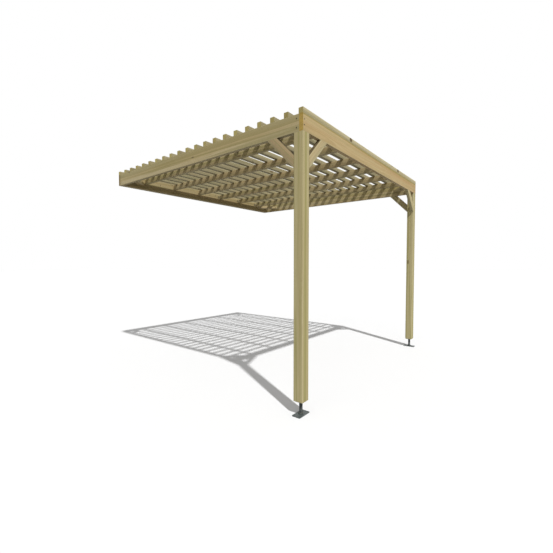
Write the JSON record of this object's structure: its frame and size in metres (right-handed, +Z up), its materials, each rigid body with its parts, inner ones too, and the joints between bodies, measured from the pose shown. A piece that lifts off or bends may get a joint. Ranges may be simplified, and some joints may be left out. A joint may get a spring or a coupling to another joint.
{
  "type": "lean-to pergola",
  "caption": "Timber lean-to pergola: a slatted flat roof on rafters, bolted to a wall at the back and carried by posts on height-adjustable screw feet at the front.",
  "frame": {"origin": "on the ground below the middle of the whole box, 15 mm to the left of the roof's middle and 15 mm before it, because the left plate reaches out beside its post and the right one before it", "axes": "+X along the front to the right as seen from the front, +Y from the front to the wall, +Z up"},
  "size_m": [3.03, 2.998, 2.474],
  "materials": {
    "post_timber": "planed, green treated",
    "beam_timber": "planed, green treated",
    "rafter_timber": "planed, green treated",
    "slat_timber": "planed, green treated",
    "brace_timber": "planed, green treated",
    "foot_steel": "dark grey, satin",
    "zinc_steel": "zinc plated"
  },
  "bodies": {
    "frame": {"left_post": "post_timber", "right_post": "post_timber", "front_beam": "beam_timber", "wall_plate": "beam_timber", "rear_beam": "beam_timber", "left_side_beam": "beam_timber", "right_side_beam": "beam_timber", "rafter_1": "rafter_timber", "rafter_2": "rafter_timber", "rafter_3": "rafter_timber", "rafter_4": "rafter_timber", "rafter_5": "rafter_timber", "rafter_6": "rafter_timber", "slat_01": "slat_timber", "slat_02": "slat_timber", "slat_03": "slat_timber", "slat_04": "slat_timber", "slat_05": "slat_timber", "slat_06": "slat_timber", "slat_07": "slat_timber", "slat_08": "slat_timber", "slat_09": "slat_timber", "slat_10": "slat_timber", "slat_11": "slat_timber", "slat_12": "slat_timber", "slat_13": "slat_timber", "slat_14": "slat_timber", "slat_15": "slat_timber", "slat_16": "slat_timber", "slat_17": "slat_timber", "slat_18": "slat_timber", "slat_19": "slat_timber", "slat_20": "slat_timber", "slat_21": "slat_timber", "left_front_knee_brace": "brace_timber", "left_side_knee_brace": "brace_timber", "left_front_corner_brace": "brace_timber", "left_wall_corner_brace": "brace_timber", "right_front_knee_brace": "brace_timber", "right_side_knee_brace": "brace_timber", "right_front_corner_brace": "brace_timber", "right_wall_corner_brace": "brace_timber", "left_foot_bush": "zinc_steel", "right_foot_bush": "zinc_steel", "slat_screws": "zinc_steel", "frame_screws": "zinc_steel", "brace_screws": "zinc_steel", "rafter_brackets": "zinc_steel", "bracket_screws": "zinc_steel", "bush_screws": "zinc_steel"},
    "left_base": {"left_base_plate": "foot_steel", "left_thrust_washer": "zinc_steel"},
    "left_stem": {"left_foot_stem": "foot_steel", "left_retaining_ring": "zinc_steel"},
    "right_base": {"right_base_plate": "foot_steel", "right_thrust_washer": "zinc_steel"},
    "right_stem": {"right_foot_stem": "foot_steel", "right_retaining_ring": "zinc_steel"}
  },
  "joints": [
    {"name": "left_foot_travel", "type": "slide", "parent": "frame", "child": "left_base", "axis": [0, 0, 1], "range_m": [-0.04, 0.04]},
    {"name": "left_stem_turn", "type": "hinge", "parent": "left_base", "child": "left_stem", "pos_m": [-1.44, -1.424, 0.1], "axis": [0, 0, 1], "range_deg": [-4110, 4110]},
    {"name": "right_foot_travel", "type": "slide", "parent": "frame", "child": "right_base", "axis": [0, 0, 1], "range_m": [-0.04, 0.04]},
    {"name": "right_stem_turn", "type": "hinge", "parent": "right_base", "child": "right_stem", "pos_m": [1.47, -1.424, 0.1], "axis": [0, 0, 1], "range_deg": [-4110, 4110]}
  ],
  "couplings": [
    {"joint": "left_foot_travel", "follows": "left_stem_turn", "m_per_rad": 0.00055704},
    {"joint": "right_foot_travel", "follows": "right_stem_turn", "m_per_rad": 0.00055704}
  ]
}
